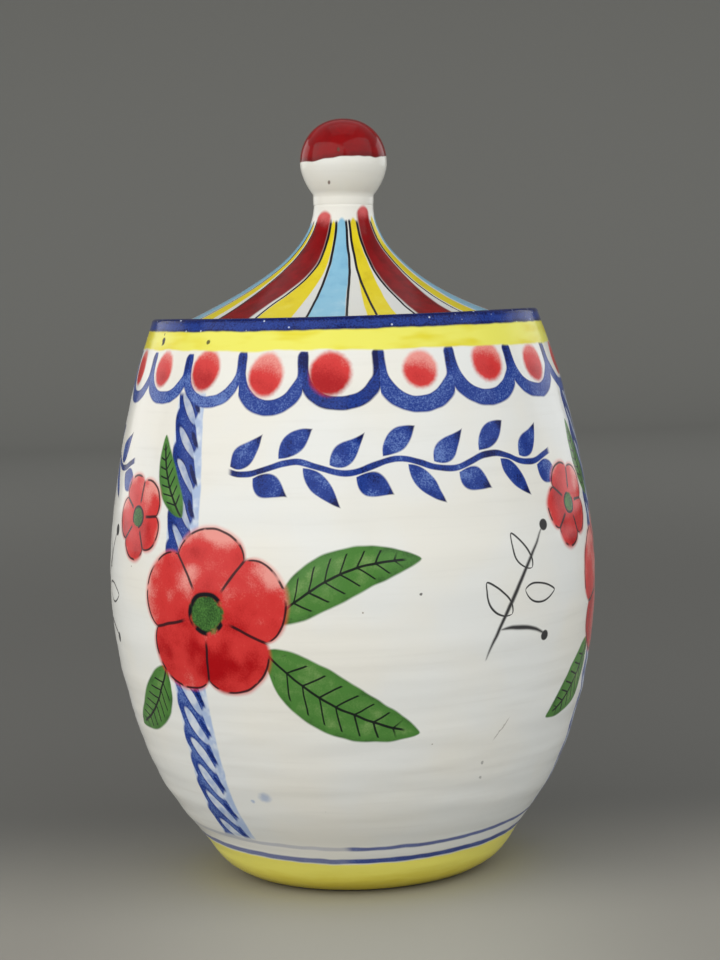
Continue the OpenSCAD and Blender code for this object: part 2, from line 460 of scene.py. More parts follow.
jarPaint = {
    # twisted columns: how many, the turn of one, half width, foot and head, and the strokes
    "columns": 3, "columnTurn": -42.6, "columnHalf": 6.3, "columnFoot": 23, "columnHead": 180,
    "ropePitch": 10.8, "ropeSlope": 1.2, "washTints": ((214, 222, 232), (162, 182, 216)),
    # scallops: places round the rim, the turn of one, height of the tips, radius of the wall
    # there, and a place where they sit wider: degrees left of the middle, reach and shift
    "scallops": 20, "scallopTurn": 8.6, "scallopTip": 191.8, "firstScallop": -5,
    "scallopRadius": 77, "wider": (8, 24, 1.4), "squareness": 2.25,
    "thinStroke": 1.8, "stem": 1.9, "stemFlow": 1.6,
    # each scallop listed one by one, from the left: drop, half width and depth of colour, then its
    # dot: place across and up from the middle, size and depth of colour
    "strokes": ((13.0, 2.1, 0.5), (13.2, 2.2, 0.25), (14.2, 1.9, 0.2), (16.8, 2.6, 0.45),
                (16.0, 2.4, 0.85), (17.0, 2.9, 0.4), (15.3, 2.8, 0.45), (14.4, 2.5, 0.5),
                (14.0, 2.3, 0.4)),
    "dots": ((-2.4, 2.2, 0.8, 0.6), (-2.8, 1.9, 0.8, 0.6), (-3.2, 1.7, 0.92, 0.75),
             (-1.8, 0.0, 0.98, 0.35), (-3.0, -0.1, 0.98, 1.0), (1.2, 0.4, 0.84, 0.15),
             (2.2, 2.0, 0.9, 0.35), (1.2, 0.4, 0.84, 0.7), (2.0, 1.2, 0.82, 0.7)),
    "dotHeight": 186, "dotSize": (7.1, 7.8), "dotTilt": -14,
    # lemon band and blue rim, from these heights up
    "bandLow": 193.7, "rimLow": 200.5, "bandTints": ((233, 228, 98), (222, 206, 14)),
    "pinTint": (196, 205, 226),
    # yellow foot band, up to its height, and the lines over it: height, half width, how much
    # fades out and how much is left; both slant, and sag towards the sides
    "baseBand": 13.5, "footTints": ((246, 236, 112), (228, 208, 66)),
    "baseLines": ((20.3, 0.75, 0.55, 0.3), (14.9, 1.0, 0.15, 0.8)), "slant": 0.3, "sag": 2.7,
    # garland: its middle height, how many steps go round the jar, where the vine starts and
    # ends, and for each side of it the leaves' shift, lift, tilt, first and last
    "garland": 155, "garlandRadius": 85, "leaves": 30, "vine": (1.2, 8.2), "vineWave": 2.0,
    "leafHalfLength": 7.8, "leafHalfWidth": 3.7,
    "sides": ((0.0, 6.4, 40, 1, 7), (0.5, -6.0, -38, 2, 8)),
    # green leaves: start, tip, half width and bend, and flowers: middle, size, petals and turn,
    # in millimetres across from the column and up
    "greens": (((40, 104), (90, 124), 8.5, 6), ((36, 94), (84, 64), 10.5, -5),
               ((-8, 86), (-36, 62), 7.5, 4), ((2, 138), (-10, 166), 5.0, 3)),
    "flowers": (((14, 106), 31, 5, 14), ((-24, 137), 16, 5, 40)),
    # a sprig drawn in ink only: its leaves, stalks and berries
    "sprig": (((-63, 102), (-74, 114), 3.6, 1), ((-57, 110), (-41, 108), 3.4, -1),
              ((-53, 117), (-61, 130), 3.2, 1)),
    "stalks": (((-73, 87), (-43, 132), 0.8, 3), ((-68, 97), (-44, 92), 0.8, 2)),
    "berries": ((-44, 131, 2.3), (-46, 92.5, 2.1)),
    # chips: turn, height, size and how dark; smudges: turn, height, size and how wide; and
    # scratches: turn and height
    "chips": ((-61, 197.4, 1.5, 1.0), (-61.5, 199.8, 0.6, 0.8), (-39.8, 197, 0.85, 0.85),
              (14.5, 112, 0.55, 0.8), (32, 50, 0.7, 0.45), (32.5, 44.5, 0.6, 0.4),
              (160, 130, 0.9, 0.9), (-120, 70, 0.8, 0.7)),
    "smudges": ((-25.5, 41, 2.6, 1.3), (-29.5, 39, 0.8, 1.6), (118, 60, 2.2, 1.4)),
    "scratches": ((36.5, 61.5), (142, 92)),
    "chipTint": (34, 28, 26), "smudgeTint": (120, 150, 196), "scratchTint": (122, 106, 92),
}


def stationSlope(stations, i):
    a, b = stations[max(i - 1, 0)], stations[min(i + 1, len(stations) - 1)]
    return (b[1] - a[1]) / (b[0] - a[0])


def wallRadius(z):
    stations = jarSettings["stations"]
    i = max(k for k in range(len(stations) - 1) if k == 0 or z >= stations[k][0])
    (low, r0), (high, r1) = stations[i], stations[i + 1]
    h, t = high - low, (z - low) / (high - low)
    return (r0 * (1 + 2 * t) * (1 - t) ** 2 + r1 * t * t * (3 - 2 * t)
            + h * stationSlope(stations, i) * t * (1 - t) ** 2
            - h * stationSlope(stations, i + 1) * t * t * (1 - t))


def insideRadius(z):
    slope = wallRadius(z + 0.5) - wallRadius(z - 0.5)
    return wallRadius(z) - jarSettings["wall"] * math.hypot(1, slope)


def jarOutline(s):
    foot, lipZ = s["footHeight"], rimTop - s["lipRound"]
    inside, glaze = s["footInside"], s["glazeEnd"]
    # under the floor, round the glazed heel and up the outside
    points = [(r, foot, 0, 0, 0.1) for r in steps(0, inside, 8)] + [(inside, 1.2, 0, 0, 0.3)]
    points += [(inside + out, glaze + up, 0, painted, share)
               for (out, up, painted), share in zip(s["heel"], (0.3, 0.5, 1))]
    for z in steps(1.3, lipZ - 0.6, 1.8):
        relief = eased(z, *s["ringsIn"]) * eased(z, lipZ, s["ringsOut"])
        points.append((wallRadius(z), z, relief * (1 + eased(z, *s["ringsDeeper"])), 1, 1))
    # over the lip and down the inside, past the ledge, to the floor
    points += arc((wallRadius(lipZ) - s["lipRound"], lipZ), s["lipRound"], 0, 90, 6, 0, 1, 1)
    points += arc((mouthRadius + s["lipRound"], lipZ), s["lipRound"], 90, 180, 6, 0, 1, 0.5)
    under = seatTop - s["ledgeUnder"]
    points += [(mouthRadius, z, 0, 0, 0.2) for z in steps(lipZ - 1.5, under, 4)]
    points += [(insideRadius(z), z, 0.6, 0, 0.2) for z in steps(under - s["haunch"], 24, 5)]
    top, cove = s["floorTop"], s["cove"]
    turnOff = math.degrees(math.atan(wallRadius(20) - wallRadius(19)))
    centre = (insideRadius(21) - cove * math.cos(math.radians(turnOff)), top + cove)
    points += arc(centre, cove, -turnOff, -90, 6, 0.3, 0, 0.2)
    points += [(r, top, 0.3, 0, 0.1) for r in steps(centre[0] - 5, 0, 8)]
    return points


def footBand(colour, near, turn, z, p):
    # yellow foot band and the two blue lines over it
    streaky = grain(vectors("MULTIPLY", near, (1.0, 1.0, 5.0)), 9, 2)
    light, deep = p["footTints"]
    yellow = mixed(tint(*light), tint(*deep), ramp(z + (streaky - 0.5) * 5, 12, 2))
    aside = (turn * math.radians(1)).math("SINE")
    slanted = z + aside * p["slant"] - aside * aside * p["sag"]
    foot = ramp(slanted + (streaky - 0.5), p["baseBand"] + 0.4, p["baseBand"] - 0.4)
    colour = mixed(colour, yellow, foot)
    # the upper line fades out on the left, where the brush ran dry
    fading = ramp(aside + (grain(near, 26, 2) - 0.5) * 0.5, -0.12, -0.04)
    for height, half, fades, stays in p["baseLines"]:
        strength = fading * fades + stays
        stroke = ramp(abs(slanted - height), half + 0.35, half - 0.35) * strength
        colour = mixed(colour, brushed(near, z * 0 + 0.42, cobaltTints, 0.3, 0.5), stroke)
    return colour


def garland(near, step, z, p):
    # brush leaves along a waving vine, left open at the columns: their mask and their blue
    gap = math.tau * p["garlandRadius"] / p["leaves"]
    up = z - p["garland"] - (step * math.pi).math("SINE") * p["vineWave"]
    leaves = ramp(abs(up), 1.3, 0.8) * within(step, *p["vine"], 0.06)
    ends = z * 0
    for offset, lift, tilt, first, last in p["sides"]:
        whole = step + offset
        number = whole.math("FLOOR")
        along, across = turnedAxes((whole - number - 0.5) * gap, up, (0, lift), tilt)
        body = (along - 0.8) / p["leafHalfLength"]
        half = ((1 - body * body).math("MAXIMUM", -0.5)
                * (p["leafHalfWidth"] - along * 0.18).math("MAXIMUM", 1))
        # no leaves before the first and after the last
        half = half - ramp(abs(number - (first + last) / 2), (last - first) / 2 + 0.2,
                           (last - first) / 2 + 0.4) * 9
        leaves = leaves.math("MAXIMUM", ramp(abs(across) - half, 0.35, -0.35))
        ends = ends.math("MAXIMUM", ramp(along, 4, 8.5) * ramp(abs(across), 3, 1))
    depth = grain(near, 8, 1) * 1.2 - 0.15 + ramp(abs(up), 3, 1) * 0.25 + ends * 0.6
    return leaves, brushed(near, depth, cobaltTints)


def twistedColumn(colour, near, x, z, p):
    # a pale wash under dark strokes, with pale lens-shaped gaps between them
    swollen = ramp(z, 178, 145)
    side = (x - swollen * ramp(z, 30, 70) * 1.8) / (swollen * 0.9 + p["columnHalf"])
    standing = within(z, p["columnFoot"], p["columnHead"], 1.0)
    wash = ramp(abs(side - 0.1), 1.10, 0.98) * standing
    thin, thick = p["washTints"]
    washed = mixed(tint(*thin), tint(*thick), ramp(grain(near, 4, 2) + side * 0.12, 0.35, 0.7))
    colour = mixed(colour, washed, wash * 0.92)
    lap = (z + x * p["ropeSlope"]) / p["ropePitch"] + grain(near, 17, 1) * 0.5
    winding = lap * math.pi
    leftEdge = abs(winding.math("SINE")) * 0.2 + 0.76
    rightEdge = abs(winding.math("COSINE")) * 0.26 + 0.56
    strokes = ramp(side + leftEdge, -0.06, 0.06) * ramp(side - rightEdge, 0.06, -0.06)
    wound = lap - lap.math("FLOOR") - 0.5
    high = ramp(z, 70, 130)
    gap = length((side - 0.05) / 0.60, wound * 3.2 + high * wound * 1.2)
    strokes = strokes * (1 - ramp(gap, 1.12, 0.88) * (0.95 - high * 0.25)) * standing
    ends = ramp(length((side - 0.64) * 4.2, (abs(wound) - 0.5) * 7), 1.4, 0.8) * standing
    depth = ramp(gap, 1.5, 1.05) * 0.25 + ends * 0.5 + ramp(side, -0.5, -0.95) * 0.2 + high * 0.3
    blue = brushed(near, depth + 0.2, cobaltTints)
    return mixed(colour, blue, strokes.math("MAXIMUM", ends)), strokes


def greensAndFlowers(colour, paint, near, x, z, p):
    # green leaves, then the red flowers over them
    for start, tip, width, bend in p["greens"]:
        body, lines, inner = leafMasks(x, z, start, tip, width, bend)
        green = brushed(near, ramp(inner, 4, 0) * 0.25 + 0.4, greenTints, 0.3, 0.9)
        colour = mixed(mixed(colour, green, body), inkTint, lines * body * 0.95)
        paint = paint + body * 0.4
    for place, size, petals, tilt in p["flowers"]:
        body, line, folds, out = blossomMasks(x, z, place, size, petals, tilt)
        cloth = grain(near, 13, 2)
        shade = ramp(out, 1.05, 0.75) * 0.3 + (cloth - 0.5) * 1.5 + (place[1] - z) / size * 0.28
        colour = mixed(colour, brushed(near, shade + 0.28, redTints, 0.3, 0.15), body)
        broken = ramp(grain(near, 7, 1), 0.38, 0.46)
        colour = mixed(colour, inkTint, (line * broken).math("MAXIMUM", folds) * 0.92)
        eye = ramp(out + (grain(near, 2.5, 1) - 0.5) * 0.12, 0.25, 0.20)
        colour = mixed(colour, brushed(near, cloth * 0.4 + 0.6, greenTints), eye)
        colour = mixed(colour, inkTint, ramp(abs(out - 0.23), 0.04, 0.015) * broken)
        paint = paint + body * 0.4
    return colour, paint


def inkSprig(x, z, p):
    # leaves in outline, stalks and berries, all in ink
    ink = z * 0
    for start, tip, width, bend in p["sprig"]:
        body, _, inner = leafMasks(x, z, start, tip, width, bend)
        ink = ink.math("MAXIMUM", ramp(abs(inner), 0.75, 0.35) * ramp(body, 0.1, 0.4))
    for start, tip, width, bend in p["stalks"]:
        ink = ink.math("MAXIMUM", leafMasks(x, z, start, tip, width, bend)[0])
    for across, height, size in p["berries"]:
        ink = ink.math("MAXIMUM", ramp(length(x - across, z - height), size, size - 0.5))
    return ink


def scallops(colour, paint, point, near, turn, z, p):
    # blue scallops under the rim, a sponged red dot in each
    pitch = 360 / p["scallops"]
    # the painter's spacing grew on the right side of the jar, by one scallop in all
    spread = (1 - (turn * math.radians(1)).math("COSINE")) * turn.math("GREATER_THAN", 0)
    left, reach, most = p["wider"]
    shift = ramp(abs(turn + left), reach, 0) * most - spread * (pitch / 2)
    cell = (turn + shift - p["scallopTurn"]) / pitch
    index = cell.math("FLOOR")
    rows = len(p["strokes"])
    # the two halves of the cell at the back share one row
    counted = index.math("LESS_THAN", -10.5) * (p["scallops"] - 1) + index - p["firstScallop"]
    number = ((counted / rows).math("FRACT") * rows + 0.1).math("FLOOR")
    drop, wide, deep = listed(number, p["strokes"], (0, 0, 0), (20, 4, 1))
    # u runs from -1 to 1 across a scallop, w from 0 at its tips to 1 at its lowest
    u = (cell - index - 0.5) * 2
    halfCell = math.radians(pitch / 2) * p["scallopRadius"]
    above = z - p["scallopTip"] + (grain(point, 33, 1) - 0.5) * 3
    w = (above * -1).math("MAXIMUM", 0) / drop
    # a squarish round: the stroke is full below and thins out as it rises on the right
    bend, thin = p["squareness"], p["thinStroke"]
    beside, below = abs(u) ** (bend - 1), w ** (bend - 1)
    off = (beside * abs(u) + below * w - 1) / (length(beside / halfCell, below / drop) * bend)
    rising = ramp(u, 0.5, 0.95) * ramp(w, 0.7, 0.25)
    half = (wide - thin) * ramp(w, 0.2, 0.9) * (1 - rising) + thin - rising * 1.3
    # stems stand where two scallops meet, and flow into them
    lower = (w - 0.5).math("MAXIMUM", 0) * drop
    stem = length((1 - abs(u)) * halfCell, above.math("MAXIMUM", 0) + lower)
    stroke = (abs(off) - half).math("SMOOTH_MIN", stem - p["stem"], p["stemFlow"])
    drawn = ramp(stroke, 0.35, -0.35) * ramp(above, 2.2, 1.6)
    pooled = ramp(stem, 2.6, 0.6) * ramp(w, 0.5, 0.1) * 0.3 + ramp(abs(off) - half, -0.8, 0) * 0.2
    colour = mixed(colour, brushed(near, deep * 0.65 + pooled + 0.1, cobaltTints), drawn)
    across, up, size, deep = listed(number, p["dots"], (-5, -5, 0, 0), (5, 5, 2, 1))
    dx, dz = turnedAxes(u * halfCell - across, z - up - p["dotHeight"], (0, 0), p["dotTilt"])
    sponge = length(dx / p["dotSize"][0], dz / p["dotSize"][1]) / size
    dot = ramp(sponge + (grain(point, 1.2, 2) - 0.5) * 0.12, 1.12, 0.80)
    shade = deep * 0.45 + ramp(dz, 5, -5) * 0.5 + ramp(sponge, 0.9, 0.3) * 0.15 - 0.04
    colour = mixed(colour, brushed(point, shade, redTints, 0.3, 0.3), dot)
    return colour, paint + drawn * 0.6 + dot * 0.3


def rimBands(colour, point, turn, z, p):
    # lemon band with wet streaks, and over it the blue rim with pinholes
    edge = (grain(point, 14, 1) - 0.5) * 1.6 + (turn * math.radians(1)).math("SINE") * 0.9
    band = ramp(z + edge, p["bandLow"] - 0.5, p["bandLow"] + 0.5)
    wet = grain(vectors("MULTIPLY", point, (0.6, 0.6, 2.4)), 14, 2)
    thin, thick = p["bandTints"]
    colour = mixed(colour, mixed(tint(*thin), tint(*thick), ramp(wet, 0.42, 0.7)), band)
    rim = ramp(z + edge * 0.25, p["rimLow"] - 0.4, p["rimLow"] + 0.4)
    pins = ramp(point.node("ShaderNodeTexVoronoi", {"feature": "F1"},
                           {"Vector": point, "Scale": 1 / (3.2 * mm)}), 0.15, 0.07)
    dusky = ramp(z, p["rimLow"] + 1.4, p["rimLow"]) * 0.3 + ramp(z, 203, 204.6) * 0.3 + 0.65
    blue = mixed(brushed(point, dusky, cobaltTints), tint(*p["pinTint"]), pins * 0.8)
    return mixed(colour, blue, rim), rim


def wornPlaces(colour, turn, radius, z, p):
    # chips in the glaze, faint smudges of blue, and two scratches
    def across(place):
        return (turn - place) * radius * math.radians(1)

    for place, height, size, strength in p["chips"]:
        off = length(across(place), z - height)
        chip = ramp(off, size * 1.1, size * 0.6) * strength
        colour = mixed(colour, tint(*p["chipTint"]), chip)
    for place, height, size, wide in p["smudges"]:
        off = length(across(place) / wide, z - height)
        colour = mixed(colour, tint(*p["smudgeTint"]), ramp(off, size, size * 0.2) * 0.55)
    for place, height in p["scratches"]:
        along, off = turnedAxes(across(place), z, (0, height), 52)
        scratch = ramp(abs(off), 0.4, 0.1) * within(along, -4, 4, 1.5)
        colour = mixed(colour, tint(*p["scratchTint"]), scratch * 0.5)
    return colour


def jarGlaze(p):
    material, point, painted = startMaterial("paintedJarGlaze")
    near = shaken(point, 9, 1.1)
    turn, radius, z = unrolled(near)
    # x is millimetres across from the nearest column, step counts leaves on from a column
    pitch = 360 / p["columns"]
    cell = (turn - (p["columnTurn"] - pitch / 2)) / pitch
    x = (cell - cell.math("FLOOR") - 0.5) * pitch * radius * math.radians(1)
    step = ((turn - p["columnTurn"]) / pitch).math("FRACT") * (p["leaves"] / p["columns"])

    colour = footBand(glazed(point), near, turn, z, p)
    leaves, blue = garland(near, step, z, p)
    colour = mixed(colour, blue, leaves)
    colour, strokes = twistedColumn(colour, near, x, z, p)
    paint = z * 0 + leaves * 0.5 + strokes * 0.5
    colour, paint = greensAndFlowers(colour, paint, near, x, z, p)
    colour = mixed(colour, inkTint, inkSprig(x, z, p) * 0.95)
    turn, _, high = unrolled(shaken(point, 6, 0.8))
    colour, paint = scallops(colour, paint, point, near, turn, high, p)
    colour, rim = rimBands(colour, point, turn, high, p)
    paint = paint + rim * 0.8
    turn, radius, z = unrolled(shaken(point, 1.6, 1.3))
    colour = wornPlaces(colour, turn, radius, z, p)

    # the paint ends at the foot and inside the lip, and stands up a little from the glaze
    colour = mixed(glazed(point, 0.7), colour, painted)
    rings = grain(vectors("MULTIPLY", point, (0.15, 0.15, 1.0)), 8, 1) * ramp(z, 130, 60)
    height = glazeRelief(point) + rings * painted * 0.7 + paint.math("MINIMUM", 1) * painted * 0.035
    return finishMaterial(material, colour, glazeRoughness(point), height)


jarWall = turnedPiece("jarWall", jarOutline(jarSettings), jarSettings, jarGlaze(jarPaint))
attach(jarWall, "jar")
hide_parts("jar_floor", "lower_wall", "upper_wall", "rim_collar")
print("jar wall made,", len(jarWall.data.polygons), "faces")


# ---- plain glaze and bare clay for what is hidden
def plainGlaze():
    material, point, _ = startMaterial("insideGlaze")
    return finishMaterial(material, glazed(point, 1.2), glazeRoughness(point, 0.14),
                          glazeRelief(point))


clayTints = {"light": (214, 188, 150), "dark": (188, 156, 118), "grit": (120, 96, 78)}


def bareClay(tints):
    material, point, _ = startMaterial("bareClay")
    ground = grain(point, 3, 4)
    colour = mixed(tint(*tints["light"]), tint(*tints["dark"]), ramp(ground, 0.35, 0.7))
    colour = mixed(colour, tint(*tints["grit"]), ramp(grain(point, 0.9, 2), 0.66, 0.74) * 0.6)
    return finishMaterial(material, colour, ground * 0.2 + 0.72,
                          grain(point, 0.5, 3) * 0.08 + ground * 0.1)


insideGlaze, clay = plainGlaze(), bareClay(clayTints)

# ---- foot ring
footSettings = {"inside": 33, "outside": 41.3, "height": 5, "edge": 0.8, "segments": 144,
                "relief": 1.0, "ringDepth": 0.1, "ringSpacing": 2, "seed": 8.0}


def ringOutline(inside, outside, low, high, edge, relief=0.0):
    # a closed turned ring, its outline starting and ending on the lower inside corner
    corners = [(inside + edge, low + edge, 180, 270), (outside - edge, low + edge, 270, 360),
               (outside - edge, high - edge, 0, 90), (inside + edge, high - edge, 90, 180)]
    points = []
    for x, z, start, end in corners:
        points += arc((x, z), edge, start, end, 4, relief, 0, 1)
    return points + [points[0]]


footRing = turnedPiece("footRing", ringOutline(
    footSettings["inside"], footSettings["outside"], 0, footSettings["height"],
    footSettings["edge"], footSettings["relief"]), footSettings, clay)
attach(footRing, "jar")
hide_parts("foot_ring")

# ---- ledge inside the mouth
ledgeSettings = {"throat": 57, "under": jarSettings["ledgeUnder"], "bedded": 0.4, "edge": 1.1,
                 "segments": 192, "seed": 5.0,
                 "lean": jarSettings["lean"], "leanFrom": jarSettings["leanFrom"]}
ledge = turnedPiece("mouthLedge", ringOutline(
    ledgeSettings["throat"], mouthRadius + ledgeSettings["bedded"],
    seatTop - ledgeSettings["under"], seatTop, ledgeSettings["edge"]), ledgeSettings, insideGlaze)
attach(ledge, "jar")
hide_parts("mouth_ledge")
print("foot ring and ledge made")


# ---- lid
lidSettings = {
    "edgeHeight": 5, "edgeRound": 1.0, "seatInside": 56, "wall": 4.6, "hollowTop": 234,
    "hollow": 51,
    # the flare's pulls: down from the neck, in from the edge, and its rise there
    "neck": 10.95, "neckPull": 22.9, "skirtPull": 15.1, "skirtRise": 0.4,
    # throwing rings: heights between which they come in and fade out
    "ringsIn": (205, 215), "ringsOut": (244, 234), "lean": 2.3, "leanFrom": 194,
    "segments": 256, "ringDepth": 0.35, "ringSpacing": 6, "outOfRound": 0.4, "seed": 6.4,
}
lidPaint = {
    # the turn where the first half starts, and how it drifts towards the neck
    "start": -52, "startDrift": -3.5, "settled": (205.5, 226), "aslant": 1.6,
    # how high each colour reaches, how soft its edges are, and its tones
    "tops": {"blue": 240.5, "yellow": 240, "red": 244}, "lineTop": 239.5,
    "soft": {"blue": 0.25, "yellow": 0.25, "red": 0.7},
    "tones": {
        "red": {"pale": (208, 92, 92), "mid": (138, 2, 8), "dark": (100, 0, 2)},
        "yellow": {"pale": (226, 214, 84), "mid": (220, 200, 28), "dark": (194, 168, 12)},
        "blue": {"pale": (172, 206, 220), "mid": (134, 186, 210), "dark": (102, 158, 194)},
    },
    "flankPaintedShadeTint": (196, 196, 190),  # painted shade: the glaze is painted greyer where the roof flares out, for the shade that falls on the flank
    # stripes of one half of the lid: the turns of their two edges at the rim, then at the neck
    "stripes": (("red", -50.8, -35, -54.5, -23), ("yellow", -31.6, -17.8, -21, -13.5),
                ("blue", -12, 1.2, -10.5, 4.5), ("yellow", 9, 19.6, 11.5, 23),
                ("red", 28, 44, 25.5, 53.5), ("yellow", 51, 60, 57, 68),
                ("blue", 61.5, 77, 72, 84), ("red", 81, 96, 87, 94),
                ("blue", 100, 113, 97, 113.5), ("yellow", 116, 125, 116.5, 123)),
    # black lines: turn at the rim and on the neck
    "lines": ((-50.8, -55), (-32.2, -21.8), (-12.4, -11.8), (1.9, 5.3), (12.5, 10.9),
              (26.5, 24.4), (49.3, 55.5), (79, 86), (98, 95.5), (114.5, 115)),
}


def roofPoint(t, s, inset=0.0):
    foot = (edgeRadius, seatTop + s["edgeHeight"])
    pulls = [(s["neck"], roofTop), (s["neck"], roofTop - s["neckPull"]),
             (foot[0] - s["skirtPull"], foot[1] + s["skirtPull"] * s["skirtRise"]), foot]
    weights = [(1 - t) ** 3, 3 * t * (1 - t) ** 2, 3 * t * t * (1 - t), t ** 3]
    x, z = (sum(w * pull[i] for w, pull in zip(weights, pulls)) for i in (0, 1))
    if inset:
        ax, az = roofPoint(t - 0.001, s)
        bx, bz = roofPoint(t + 0.001, s)
        far = math.hypot(bx - ax, bz - az)
        x, z = x + (bz - az) / far * inset, z - (bx - ax) / far * inset
    return x, z


def lidOutline(s):
    inner = [roofPoint(t, s, s["wall"]) for t in steps(0.02, 0.98, 0.04)]
    inner = [p for p in inner if 0 < p[0] < s["hollow"] and p[1] < s["hollowTop"]]
    top = (inner[0][0], s["hollowTop"])
    points = [(0, top[1], 0, 0, 0.2), (top[0] * 0.6, top[1], 0, 0, 0.2),
              (top[0], top[1] - 1, 0, 0, 0.3)]
    points += [(x, z, 0, 0, 0.3) for x, z in inner]
    points += [(r, seatTop, 0, 0, 0.3) for r in (s["hollow"], s["seatInside"])]
    edge, low, high = s["edgeRound"], seatTop, seatTop + s["edgeHeight"]
    points += arc((edgeRadius - edge, low + edge), edge, 270, 360, 4, 0, 0.3, 0.6)
    points += arc((edgeRadius - edge, high - edge), edge, 0, 60, 4, 0, 1, 1)
    outer = [roofPoint(t, s) for t in steps(0.985, 0, 0.02)]
    points += [(x, z, eased(z, *s["ringsIn"]) * eased(z, *s["ringsOut"]), 1, 1.6)
               for x, z in outer]
    return points + [(s["neck"] * 0.5, roofTop, 0, 1, 0.3), (0, roofTop, 0, 1, 0.3)]


def lidGlaze(p):
    material, point, painted = startMaterial("paintedLidGlaze")
    near = shaken(point, 9, 0.6)
    turn, radius, z = unrolled(near)
    # painted shade: the flaring flank is painted greyer, standing in for shade
    colour = mixed(glazed(point), tint(*p["flankPaintedShadeTint"]), ramp(z, 240, 228) * 0.55)
    aslant = z - (turn * math.radians(1)).math("SINE") * p["aslant"]
    # 0 at the rim, 1 on the neck
    neck = ramp(z, *p["settled"])
    start = neck * p["startDrift"] + p["start"]
    half = ((turn - start) / 180).math("FRACT") * 180 + start
    reach = radius * math.radians(1)
    streak = grain(vectors("MULTIPLY", near, (1.0, 1.0, 0.3)), 5, 2)
    paint = z * 0
    for kind, left, right, neckLeft, neckRight in p["stripes"]:
        low, high = neck * (neckLeft - left) + left, neck * (neckRight - right) + right
        inside = (half - low).math("MINIMUM", high - half)
        crown = 1 - (inside / (high - low) * 2).math("MINIMUM", 1)
        top, soft = p["tops"][kind], p["soft"][kind]
        mask = ramp(inside * reach, -soft, soft)
        mask = mask * ramp(aslant + crown * crown * 1.8, top + 0.8, top - 0.8)
        # the red ends pale at its top, the others are paler at the rim
        if kind == "red":
            shade = streak * 0.6 + 0.45 - ramp(aslant, top - 9, top) * 0.7
        else:
            shade = streak * 0.7 + ramp(z, 204, 218) * 0.2 + 0.05
        colour = mixed(colour, brushed(near, shade, p["tones"][kind], 0.15, 0.25), mask)
        paint = paint + mask * 0.5
    wander = (grain(point, 20, 1) - 0.5) * 1.0
    lines = z * 0
    for rim, top in p["lines"]:
        off = abs((half - neck * (top - rim) - rim) * reach + wander)
        lines = lines.math("MAXIMUM", ramp(off, 0.58, 0.34))
    lines = lines * ramp(z + grain(near, 4, 1) * 4, p["lineTop"] + 3, p["lineTop"] + 1)
    colour = mixed(colour, inkTint, lines)
    colour = mixed(glazed(point, 0.7), colour, painted)
    paint = (paint + lines * 0.8).math("MINIMUM", 1) * painted
    return finishMaterial(material, colour, glazeRoughness(point), glazeRelief(point) + paint * 0.03)


lidRoof = turnedPiece("lidRoof", lidOutline(lidSettings), lidSettings, lidGlaze(lidPaint))
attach(lidRoof, "lid")
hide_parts("lid_roof")

# ---- locating ring under the lid
ringSettings = {"thickness": 4.5, "bedded": 0.6, "edge": 1.2, "segments": 192, "seed": 2.0}
locatingRing = turnedPiece("locatingRing", ringOutline(
    ringRadius - ringSettings["thickness"], ringRadius, ringLow,
    seatTop + ringSettings["bedded"], ringSettings["edge"]), ringSettings, insideGlaze)
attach(locatingRing, "lid")
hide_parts("lid_locating_ring")

# ---- ball knob
knobSettings = {
    # the ball: its middle, radius, reach below the middle, how full it is below and above, and
    # the angle where it leaves the collar
    "middle": 260.7, "radius": 15.95, "below": 18.5, "fullness": (1.65, 2.15), "ballFrom": -42,
    "seat": 245.7, "calm": (2, 12), "segments": 128,
    "lean": 2.3, "leanFrom": 194, "outOfRound": 0.4, "seed": 9.2,
    # the collar where the ball was luted on
    "collar": [(10.4, 245.5), (11.0, 245.52), (11.02, 245.58), (11.05, 246.3), (11.1, 247.1),
               (11.12, 248.0)],
}
knobPaint = {
    "cap": (261.7, 262.2), "droop": 1.0, "droopTurn": 75,  # the red cap's edge hangs on one side
    "tones": {"pale": (164, 26, 30), "mid": (144, 2, 8), "dark": (104, 0, 4)},
    # pits: place across, height and size
    "pits": ((-5.2, 253.2, 0.75), (-1.8, 264.8, 0.9)), "pitTint": (92, 56, 40),
}


def knobOutline(s):
    points = [(0, s["seat"], 0, 1, 0.2)] + [(x, z, 0, 1, 1) for x, z in s["collar"]]
    for a in steps(s["ballFrom"], 90, 4):
        across, up = math.cos(math.radians(a)), math.sin(math.radians(a))
        power = 2 / s["fullness"][up > 0]
        lift = abs(up) ** power * (knobTop - s["middle"] if up > 0 else -s["below"])
        points.append((s["radius"] * max(across, 0) ** power, s["middle"] + lift, 0, 1, 1))
    points[-1] = (0, knobTop, 0, 1, 1)
    return [p[:2] + (eased(p[0], *s["calm"]),) + p[3:] for p in points]


def knobGlaze(p):
    material, point, _ = startMaterial("knobGlaze")
    colour = glazed(point)
    turn, _, z = unrolled(shaken(point, 8, 1.0))
    droop = ((turn + p["droopTurn"]) * math.radians(1)).math("COSINE") * p["droop"]
    edge = z + droop + (grain(point, 9, 1) - 0.5) * 2.6
    cap = ramp(edge, *p["cap"])
    shade = grain(point, 7, 3) * 0.5 + 0.42 + ramp(edge, 264.5, 262) * 0.25
    colour = mixed(colour, brushed(point, shade, p["tones"], 0.1, 0.25), cap)
    x, y, up = split(point)
    pits = z * 0
    for across, height, size in p["pits"]:
        off = length((x / mm - across) * 1.5, up / mm - height)
        pits = pits.math("MAXIMUM", ramp(off, size * 1.3, size * 0.5) * ramp(y, 0, -0.005))
    colour = mixed(colour, tint(*p["pitTint"]), pits * 0.8)
    height = glazeRelief(point) + cap * 0.06 - pits * 0.1
    return finishMaterial(material, colour, glazeRoughness(point, 0.07), height, 1.28)


